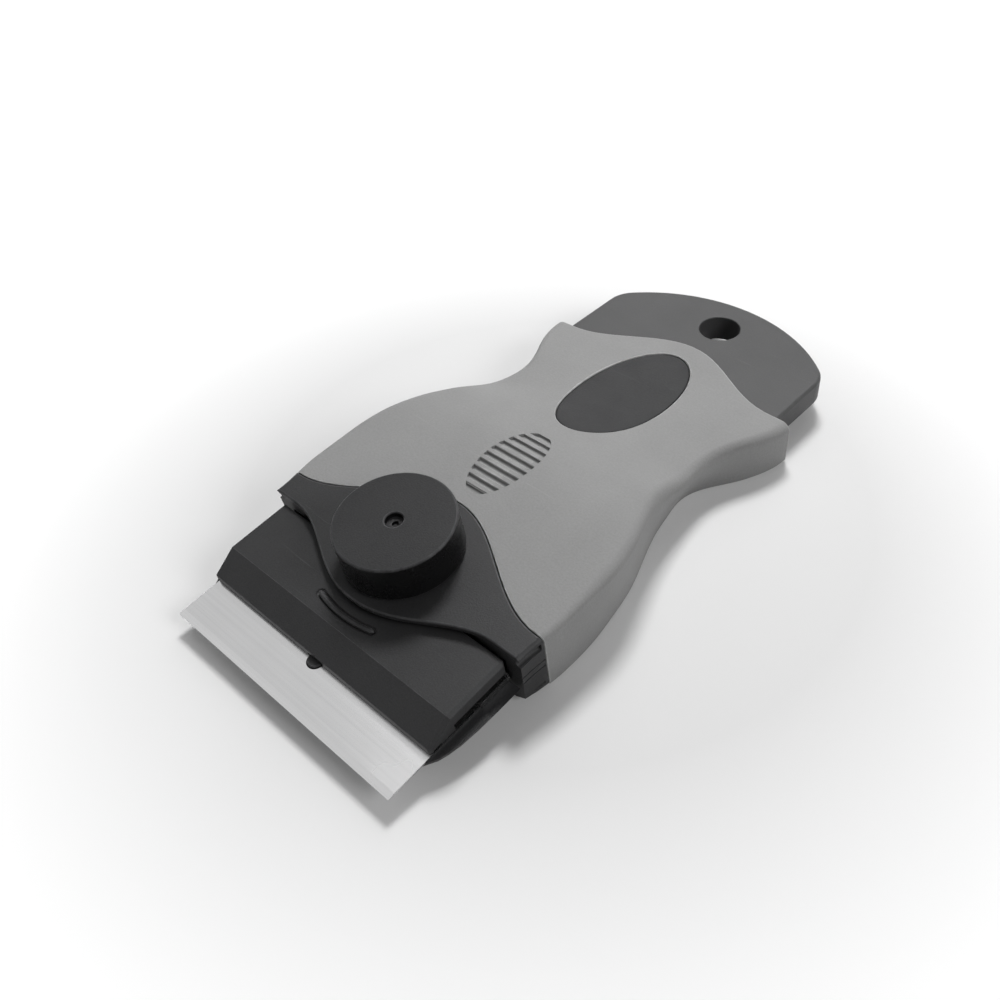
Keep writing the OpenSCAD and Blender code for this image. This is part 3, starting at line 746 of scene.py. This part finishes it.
def grip_block():
    """The grip's whole form, between the collar's edge and the apron's, with both end edges rounded."""
    count = len(grip_profile(CREST_Y))
    lines = [grip_places(*grip_ends(i)) for i in range(count)]
    rings = list(zip(*lines))
    verts = []
    for ring in rings:
        for i, (y, inset) in enumerate(ring):
            profile = grip_profile(y)
            x, z = drawn_in(profile, inset)[i] if inset else profile[i]
            verts.append(lay((x, y, z)))
    last = (len(rings) - 1) * count
    faces = []
    for a in range(0, last, count):
        b = a + count
        faces += [(a + i, b + i, b + (i + 1) % count, a + (i + 1) % count) for i in range(count)]

    def top(i):
        return 2 * GRIP_FLATS + (count - 2 * GRIP_FLATS - 2) // 2 + 1 - i

    for i in range(GRIP_FLATS):
        cap = (i, i + 1, top(i + 1), top(i))
        faces += [cap, tuple(last + v for v in reversed(cap))]
    right = tuple(range(GRIP_FLATS, top(GRIP_FLATS) + 1))
    left = tuple(range(top(0), count)) + (0,)
    faces += [right, left]
    faces += [tuple(last + v for v in reversed(cap)) for cap in (right, left)]
    return shape("grip", verts, faces)


def stretch(y0, y1, inset, drop, low, stop=None, steps=40, spans=20):
    """A plain length of the handle's inside, drawn in from its sides and its back, or level with stop."""
    rings = []
    for k in range(steps + 1):
        y = y0 + (y1 - y0) * k / steps
        x = half_w(y) - inset
        xs = [x * (2 * i / spans - 1) for i in range(spans + 1)]
        tops = [(px, y, surface(px, y) - drop if stop is None else stop) for px in xs]
        rings.append([(-x, y, low), *tops, (x, y, low)])
    return skin("stretch", rings, lay)


def pad_opening(edge=0.2):
    """The cutter for the pad's opening up through the grip's back, with the opening's edge rounded."""
    line = oval_line(0, PAD_Y, PAD_B + GAP, PAD_A + GAP, PAD_SIDES)
    rings = [[(x, y, TONGUE_Z - 1) for x, y in line]]
    for a in quarter():
        ring = drawn_in(line, -edge * (1 - cos(a)))
        rings.append([(x, y, surface(x, y) - edge * (1 - sin(a))) for x, y in ring])
    rings.append([(x, y, z + 2) for x, y, z in rings[-1]])
    return skin("opening", rings, lay)


def make_grip():
    """The soft grip: hollow over the core, open for the tongue and the pad, with its vents."""
    grip = grip_block()
    half, rear, roof = TONGUE_HALF + GAP, CORE_REAR + GAP, TONGUE_Z + GAP
    carve(
        grip,
        stretch(COVER_Y - 2, ROOT_Y, GRIP_T, GRIP_T, -1),
        stretch(ROOT_Y - 1, rear, GRIP_T, 0, -1, roof),
        box(-half, half, CORE_REAR - 1, REAR_Y + 1, TONGUE_LOW - GAP, roof, place=lay),
        box(-PAST, PAST, REAR_Y, REAR_Y + 8, -1, roof, place=lay),
        pad_opening())
    return carve(grip, vent_slots(grip))


def make_pad(rim=0.3, dome=0.12):
    """The oval pad: rings of points that rise from its rounded rim over a slight dome."""
    line = oval_line(0, PAD_Y, PAD_B, PAD_A, PAD_SIDES)
    rings = [[(x, y, TONGUE_Z + GAP if y > ROOT_Y else surface(x, y) - GRIP_T) for x, y in line]]
    for a in quarter(5):
        inset = rim * (1 - cos(a))
        line = oval_line(0, PAD_Y, PAD_B - inset, PAD_A - inset, PAD_SIDES)
        rings.append([(x, y, surface(x, y) - PAD_LOW - rim * (1 - sin(a))) for x, y in line])
    for share in (0.93, 0.85, 0.7, 0.5, 0.25, 0.05):
        line = oval_line(0, PAD_Y, (PAD_B - rim) * share, (PAD_A - rim) * share, PAD_SIDES)
        rings.append([(x, y, surface(x, y) - PAD_LOW + dome * (1 - share**2)) for x, y in line])
    return skin("pad", rings, lay)


def tongue_line(corner_steps=8, arc_steps=14):
    """The tongue's outline: straight sides, two round corners and a wide arc across its end."""
    reach, cx = TONGUE_R - CORNER_R, TONGUE_HALF - CORNER_R
    arc_y = WHOLE - TONGUE_R
    cy = arc_y + sqrt(reach**2 - cx**2)
    turn = atan2(cy - arc_y, cx)
    half = [(TONGUE_HALF, CORE_REAR - 2)]
    for i in range(corner_steps + 1):
        a = turn * i / corner_steps
        half.append((cx + CORNER_R * cos(a), cy + CORNER_R * sin(a)))
    for i in range(1, arc_steps + 1):
        a = turn + (pi / 2 - turn) * i / arc_steps
        half.append((TONGUE_R * cos(a), arc_y + TONGUE_R * sin(a)))
    return half + [(-x, y) for x, y in reversed(half[:-1])]


def copied(node):
    """A copy of a CAD node's mesh, with its loose triangles joined."""
    obj = linked(node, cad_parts[node].data.copy())
    net = bmesh.new()
    net.from_mesh(obj.data)
    bmesh.ops.remove_doubles(net, verts=net.verts, dist=1e-7)
    bmesh.ops.dissolve_limit(net, angle_limit=radians(0.5), verts=net.verts, edges=net.edges)
    net.to_mesh(obj.data)
    net.free()
    return obj


def make_core_top():
    """The core's upper half, with its back arched like the grip over it."""
    return joined(copied("core_top"), [stretch(10, 62, -3, GRIP_T - 0.01, -1)], "INTERSECT")


def hanging_hole(edge=0.2, draft=0.4):
    """The cutter for the hanging hole, rounded at the top and narrower below, as a moulded hole is."""
    line = [(HANG_R - draft, TONGUE_LOW - 1), (HANG_R - draft, TONGUE_LOW)]
    line += [(HANG_R + edge * (1 - cos(a)), TONGUE_Z - edge * (1 - sin(a))) for a in quarter()]
    line.append((HANG_R + edge, TONGUE_Z + 1))
    return skin("hole", [[(x, y, z) for x, y in oval_line(0, HANG_Y, r, r)] for r, z in line], lay)


def make_base(heel_half=18.88):
    """The core's lower half with its tongue, whose edges and hanging hole are rounded."""
    base = copied("core_base")
    carve(base, box(-PAST, PAST, CORE_REAR - 0.5, WHOLE + 5, -1, 8, place=lay))
    tongue = slab("tongue", tongue_line(), TONGUE_LOW, TONGUE_Z, lay, 0.35, 0.45)
    heel = box(-heel_half, heel_half, CORE_REAR - 0.7, CORE_REAR, 0.02, TONGUE_Z - 0.6, place=lay)
    carve(tongue, hanging_hole())
    return fuse(base, heel, tongue)


# The front cover, the knob and what lies under it

def cover_half(y):
    return half_w(lean_y(COVER_TOP, y))


def cover_line(lip=True, inset=0.0, start=0.0, steps=96):
    """The cover's outline, which has its lip or else starts a little behind the lip's foot."""
    shares = [-1 + 2 * i / steps for i in range(steps + 1)]
    fronts = [t * (cover_half(COVER_Y) - inset) for t in shares]
    backs = [t * (cover_half(BAND_Y) - inset) for t in reversed(shares)]
    line = [(x, lip_edge(x) + inset if lip else COVER_Y + start) for x in fronts]
    return line + [(x, collar_edge(x) - inset) for x in backs]


def cover_ground(y):
    """Height of the floor in the leaning frame, at a place along it."""
    return -SEAT / cos(PITCH) - tan(PITCH) * (y - COVER_Y)


def make_cover(channel_half=18.5):
    """The plate with its lip and collar, over a wall that straddles the jaws' channel. The whole is
    trimmed to the handle's own section, then gets its side grooves and its sloped feet."""
    plate = slab("cover", cover_line(), LIP_Z, COVER_Z, lean, 0.12, 0.22)
    front, back, under = COVER_Y + 0.02, BAND_Y - 0.02, COVER_Z - 0.3
    x0, x1 = (cover_half(y) - 0.02 for y in (front, back))
    line = [(-x0, front), (x0, front), (x1, back), (-x1, back)]
    wall = slab("wall", line, lambda x, y: cover_ground(y) + 0.01, under, lean)
    carve(wall, box(-channel_half, channel_half, front - 1, back + 1, -9, BAND_Z))
    collar = slab("collar", cover_line(False, 0.03, 0.4), COVER_Z - GRIP_T + GAP, under - 0.01, lean)
    fuse(plate, collar, wall)
    trim = [[(x, y, z + 0.02) for x, z in grip_profile(y, 0.8)][::-1] for y in np.linspace(11, 36, 26)]
    joined(plate, [skin("trim", trim, lay)], "INTERSECT")
    for side in (-1, 1):
        carve(
            plate,
            groove(side, 3.5, 0.6, 0.75, end=BAND_Y - 0.35, fade=0.2),
            groove(side, 0.75, 0.12, 0.2),
            groove(side, -0.35, 0.14, 0.22),
            groove(side, -3.6, 0.22, 0.3, start=20.0, end=21.7),
            sloped_foot(side))
    hole_r = BOLT_R + SIDE_GAP
    return carve(plate, slab("hole", oval_line(0, KNOB_Y, hole_r, hole_r), 0, 8, lean))


def sloped_foot(side, rise=0.65):
    """A cutter that slopes the foot of one side wall, most at the front."""
    rings = []
    for y, x in ((COVER_Y - 1, 18.4), (BAND_Y + 1, 20.9)):
        low = cover_ground(y)
        ring = [(x - 1 / rise, low - 1), (x + 5, low - 1), (x + 5, low + 5 * rise)]
        rings.append([(side * px, y, pz) for px, pz in ring[::side]])
    return skin("foot", rings[::-1], lean)


def side_at(y, z):
    """Half width of the grip and cover at a place and height in the leaning frame."""
    _, along, up = (c / MM for c in lean((0, y, z)))
    along += MIDDLE
    foot = 0.5
    share = (up - foot) / (surface(0, along) - corner_at(along)[1] - foot)
    return foot_half(along) + (top_half(along) - foot_half(along)) * share


def groove(side, z, high, deep, start=COVER_Y - 1, end=BAND_Y + 3, fade=0.0, steps=8):
    """A cutter for an oval groove along the cover's side, which may get shallower to the rear."""
    rings, reach = [], max(deep, 0.4)
    for k in range(steps + 1):
        y = start + (end - start) * k / steps
        x = side_at(y, z) - deep * (1 - fade * (k / steps) ** 2) + reach
        rings.append([(px, y, pz) for px, pz in oval_line(side * x, z, reach, high, 20)])
    return skin("groove", rings[::-1], lean)


def make_knob(floor=9.35, dimple=9.0):
    """The knob. The hole in its top has a floor with a small dimple."""
    sizes = {
        "Radius": KNOB_R, "Low": 0.0, "Top": KNOB_TOP - KNOB_LOW - 0.01,
        "Recess radius": RECESS_R, "Recess top": RECESS_Z - KNOB_LOW,
        "Bore radius": BORE_R, "Bore top": BORE_TOP - KNOB_LOW,
        "Hole radius": PEEP_R, "Floor": floor - KNOB_LOW,
        "Dimple radius": 0.42, "Dimple": dimple - KNOB_LOW,
        "Edge": 0.28, "Hole edge": 0.2, "Foot": 0.12, "Dimple edge": 0.1}
    corners = [
        ("Axis", "Dimple"), ("Dimple radius", "Dimple"),
        ("Dimple radius", "Floor", "Dimple edge"), ("Hole radius", "Floor"),
        ("Hole radius", "Top", "Hole edge"), ("Radius", "Top", "Edge"), ("Radius", "Low", "Foot"),
        ("Recess radius", "Low"), ("Recess radius", "Recess top"),
        ("Bore radius", "Recess top"), ("Bore radius", "Bore top"), ("Axis", "Bore top")]
    return moved(turned("knob", "knob_plastic", 128, sizes, corners), leaning(KNOB_Y, KNOB_LOW))


def make_bolt():
    """The clamping bolt: a turned shank with a dimpled end, on a square head."""
    low = LOWER_Z - 0.15 - 1 - HEAD_T
    sizes = {
        "Radius": BOLT_R, "Low": 0.5, "Top": BOLT_TOP - low, "Edge": 0.35,
        "Dimple radius": 0.55, "Dimple": BOLT_TOP - low - 0.5}
    corners = [
        ("Axis", "Dimple"), ("Dimple radius", "Dimple"), ("Dimple radius", "Top"),
        ("Radius", "Top", "Edge"), ("Radius", "Low"), ("Axis", "Low")]
    shank = turned("bolt", "fastener_steel", 48, sizes, corners)
    line = box_line(-HEAD_HALF, HEAD_HALF, -HEAD_HALF, HEAD_HALF, 0.4)
    head = slab("head", line, 0, HEAD_T, lambda p: tuple(c * MM for c in p), 0.2, 0.1)
    return moved(fuse(head, shank), leaning(KNOB_Y, low))


def make_screws():
    """One screw, turned and given its cross slot, then set at the four bosses."""
    bosses = ((-9.5, 45.0), (9.5, 45.0), (-8.4, 54.6), (8.4, 54.6))
    sizes = {"Low": 0.0, "Head radius": 2.1, "Head": 1.3, "Shank radius": 1.1, "Top": 5.9, "Edge": 0.3}
    corners = [
        ("Axis", "Top"), ("Shank radius", "Top", "Edge"), ("Shank radius", "Head"),
        ("Head radius", "Head"), ("Head radius", "Low", "Edge"), ("Axis", "Low")]

    def cross_and_set(tree, screw):
        for long, wide in ((2.4, 0.5), (0.5, 2.4)):
            bar = add(tree, "GeometryNodeMeshCube", {"Size": (long * MM, wide * MM, 1.5 * MM)})
            screw = trimmed(tree, screw, bar, "DIFFERENCE")
        spots = set_out(tree, [lay((x, y, 0.4)) for x, y in bosses])
        return add(tree, "GeometryNodeInstanceOnPoints", {"Points": spots, "Instance": screw})

    return turned("case_screws", "fastener_steel", 40, sizes, corners, also=cross_and_set)


# The jaws

def jaw_line(inset):
    """The upper jaw's outline seen from its end, drawn in by some amount: points of place and height."""
    corners = [(JAW_BACK, JAW_LOW), (JAW_BACK, JAW_T), (JAW_Y + JAW_SLOPE, JAW_T), (JAW_Y, JAW_EDGE),
               (JAW_Y, JAW_LOW)]
    radii = [max(r - inset, 0.03) for r in (0.1, 0.2, 0.15, 0.15, 0.1)]
    return bent(drawn_in(corners, inset), radii, 3)


def jaw_bar(left_edge=0.12, right_edge=0.4):
    """The upper jaw's bar. Its left end edge is rounded and its right one is chamfered."""
    rings = []
    for side, edge, angles in ((-1, left_edge, (90, 60, 30, 0)), (1, right_edge, (0, 90))):
        for a in map(radians, angles):
            x = side * (JAW_HALF - edge * (1 - sin(a)))
            rings.append([(x, y, z) for y, z in jaw_line(edge * (1 - cos(a)))])
    return skin("jaw", rings, lean)


def make_upper_jaw():
    """The upper jaw: a bar with a sloped front, a slide, a tail and a knuckle, cut for the bolt, the
    blade's folded back, its peg and the pin, with a slot at each end and a curved rib in a moat."""
    slide, tail, fork = SLIDE_HALF - 1.2, TAIL_HALF - 0.3, PIN_Y - FORK_R
    rear, low = PIN_Y + FORK_R - SIDE_GAP, 2 * PIN_Z - KNUCKLE_Z + SIDE_GAP
    jaw = fuse(
        jaw_bar(),
        box(-slide, slide, JAW_BACK - 1, SLIDE_END - 0.5, JAW_LOW + 0.02, TAIL_Z, 0.4, 0, 0.1),
        box(-tail, tail, JAW_BACK - 1.2, fork, JAW_LOW + 0.04, TAIL_Z - 0.02, 0.3, 0, 0.1),
        box(-KNUCKLE, KNUCKLE, fork - 1, rear, low, KNUCKLE_Z))
    carve(
        jaw,
        box(-KNUCKLE - 1, KNUCKLE + 1, fork - 2, fork, -4, JAW_LOW + 0.03),
        slab("slot", bolt_slot(), -3, 6, lean),
        box(-PAST, PAST, 13.5, 18.75, -1, 0.45),
        slab("notch", oval_line(0, JAW_Y, 1.3, 1.3, 40), -1, 0.58, lean),
        pin_hole(PIN_R + 0.05))
    for side in (-1, 1):
        carve(
            jaw,
            box(*sorted((side * 17.3, side * 20)), 9.9, 17.8, -0.2, 1.4, 0.3),
            box(*sorted((side * 18.0, side * 20)), 6.7, 7.9, -0.2, 0.6, 0.1))
    carve(jaw, arc_bead("moat", 5.1, 0.62, 0.25))
    return fuse(jaw, arc_bead("rib", 4.8, 0.32, 0.3))


def bolt_slot():
    """The outline of the slot that the jaws slide along the bolt by."""
    turn = [pi * i / 24 for i in range(25)]
    line = [(-SLOT_HALF * cos(t), KNOB_Y - SLOT_HALF * sin(t)) for t in turn]
    return line + [(SLOT_HALF * cos(t), SLOT_END + SLOT_HALF * sin(t)) for t in turn]


def pin_hole(r):
    return skin("pin", [[(x, y, z) for y, z in oval_line(PIN_Y, PIN_Z, r, r, 24)] for x in (-20, 20)], lean)


def make_lower_jaw():
    """The lower jaw: its sides swell back from the nose and draw in towards the underside."""
    side = [(18.4, NOSE_Y), (19.0, NOSE_Y + 0.35), (19.9, 6.6), (20.25, 7.8), (20.5, 9.2), (20.7, 11.5),
            (20.8, 14.8), (20.8, JAW_BACK)]
    drawn = [(LOWER_Z, 1.5), (LOWER_Z + 0.15, 1.15), (LOWER_Z + 0.4, 0.9), (-1.2, 0.45), (-0.6, 0.1),
             (-0.4, 0.02), (LOWER_TOP, 0.1)]
    rings = []
    for z, inset in drawn:
        half = [(x - inset, y + inset * 0.35 if y < 6 else y) for x, y in side]
        rings.append([(x, y, z) for x, y in half] + [(-x, y, z) for x, y in reversed(half)])
    fork, clear = PIN_Y - FORK_R, KNUCKLE + SIDE_GAP
    jaw = fuse(
        skin("lower_jaw", rings, lean),
        box(-SLIDE_HALF, SLIDE_HALF, JAW_BACK - 1, SLIDE_END, LOWER_Z + 0.02, LOWER_TOP - 0.02,
            0.4, 0.1, 0.1),
        box(-TAIL_HALF, TAIL_HALF, JAW_BACK - 1.2, TAIL_END, LOWER_Z + 0.04, LOWER_TOP - 0.04,
            0.3, 0.1, 0),
        box(0.02 - TAIL_HALF, TAIL_HALF - 0.02, fork + SIDE_GAP, TAIL_END - 0.02, LOWER_Z + 0.06, KNUCKLE_Z,
            0.3, 0, 0.1))
    return carve(
        jaw,
        slab("slot", bolt_slot(), -5, 6, lean),
        box(-clear, clear, fork - 2 * SIDE_GAP, TAIL_END + 1, -5, 5),
        box(-PAST, PAST, 13.65, 18.45, -0.65, 3),
        slab("peg", oval_line(0, JAW_Y, 1, 1), -4, 3, lean),
        pin_hole(PIN_R))


def make_peg():
    sizes = {"Radius": 1.0, "Low": 0.0, "Top": 0.3 - LOWER_Z, "Edge": 0.18}
    corners = [
        ("Axis", "Top"), ("Radius", "Top", "Edge"), ("Radius", "Low"), ("Axis", "Low")]
    return moved(turned("peg", "jaw_plastic", 40, sizes, corners), leaning(JAW_Y, LOWER_Z))


# Each piece with its name, body, finish and the nodes it stands for, then the nodes that stay
pieces = [
    (make_grip, "grip", "handle", "grip_rubber", "grip_sleeve"),
    (make_pad, "pad", "handle", "pad_rubber", "thumb_pad"),
    (make_base, "base_and_tongue", "handle", "core_plastic", "core_base"),
    (make_core_top, "core_back", "handle", "core_plastic", "core_top"),
    (make_cover, "cover", "handle", "cover_plastic", "front_cover"),
    (make_bolt, "bolt", "handle", "fastener_steel", "clamp_bolt"),
    (make_screws, "screws", "handle", "fastener_steel", "case_screw_front_left", "case_screw_front_right",
     "case_screw_rear_left", "case_screw_rear_right"),
    (make_knob, "knob_body", "knob_group", "knob_plastic", "knob"),
    (make_upper_jaw, "jaw_upper", "jaw", "jaw_plastic", "upper_jaw"),
    (make_lower_jaw, "jaw_lower", "carriage", "jaw_plastic", "lower_jaw"),
    (make_peg, "peg", "carriage", "jaw_plastic", "blade_peg"),
]
for make, *what in pieces:
    place_piece(tidy(make()), *what)

kept = {"thrust_washer": "fastener_steel", "spring_washer": "fastener_steel", "knob_insert": "insert_brass",
        "blade": "blade_steel", "blade_spine": "blade_steel", "jaw_pin": "fastener_steel"}
for node, finish in kept.items():
    paint(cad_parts[node], finish)


# The floor, the lights and the camera

def straight(tree):
    """1 for rays that see the white studio, from the camera or off a glossy or clear surface, else 0."""
    path = add(tree, "ShaderNodeLightPath").outputs
    mirrored = maths(tree, "MAXIMUM", path["Is Glossy Ray"], path["Is Transmission Ray"])
    return maths(tree, "MAXIMUM", path["Is Camera Ray"], mirrored)


def make_floor(half=3, drop=0.02):
    """A matt floor just under the part. Away from the part it glows white to what sees it straight; near the
    part the glow is dimmed, which paints shade round and under the part.
    """
    mat, tree = material("floor")
    matte = add(tree, "ShaderNodeBsdfDiffuse", {"Color": (0.68, 0.68, 0.68, 1)})
    where = own_place(tree)
    distance = add(tree, "ShaderNodeVectorMath", {0: where}, operation="LENGTH").outputs["Value"]
    # Painted shade: the glow is dimmed near the part, so the floor there and under the tongue looks darker
    glow_with_painted_shade = times(tree, straight(tree), remap(tree, distance, 0.042, 0.16, 0.06, 1.2))
    glow = add(tree, "ShaderNodeEmission", {"Color": (1, 1, 1, 1), "Strength": glow_with_painted_shade})
    output(tree, add(tree, "ShaderNodeAddShader", {0: matte, 1: glow}))
    corners = [(x, y, -drop * MM) for x, y in box_line(-half, half, -half, half)]
    floor = shape("floor", corners, [(0, 1, 2, 3)])
    floor.data.materials.append(mat)


def make_world(light=0.07):
    """A white room, which lights the part only a little."""
    world = bpy.data.worlds.new("studio")
    bpy.context.scene.world = world
    world.use_nodes = True
    tree = world.node_tree
    tree.nodes.clear()
    ins = {"Color": (1, 1, 1, 1), "Strength": remap(tree, straight(tree), 0, 1, light, 1.0)}
    add(tree, "ShaderNodeOutputWorld", {"Surface": add(tree, "ShaderNodeBackground", ins)})


def lamp(name, azimuth, elevation, size, share, reach):
    """A round lamp aimed at the middle of the part, which gives a white floor there that share of white."""
    a, e = radians(azimuth), radians(elevation)
    place = Vector((cos(e) * cos(a), cos(e) * sin(a), sin(e))) * reach
    light = bpy.data.lights.new(name, "AREA")
    light.shape, light.size, light.energy = "DISK", size, share * (pi * reach) ** 2 / sin(e)
    obj = linked(name, light)
    obj.location = place
    obj.rotation_euler = place.to_track_quat("Z", "Y").to_euler()


make_floor()
make_world()
lamp("key", 122, 60, 0.12, 0.69, 0.45)
lamp("rear", 110, 42, 0.3, 0.14, 0.4)
lamp("side", 8, 34, 0.5, 0.21, 1.1)
lamp("front", 224, 33, 0.4, 0.03, 0.5)

camera = linked("camera", bpy.data.cameras.new("camera"))
camera.data.sensor_width, camera.data.lens = 36.0, 36.9604
camera.data.clip_start, camera.data.clip_end = 0.005, 20.0
camera.location = (0.06984, -0.07245, 0.09493)
camera.rotation_euler = (radians(46.5587), radians(4.2404), radians(43.6121))
bpy.context.scene.camera = camera
bpy.context.scene.view_settings.view_transform = "Standard"

bpy.context.view_layer.update()
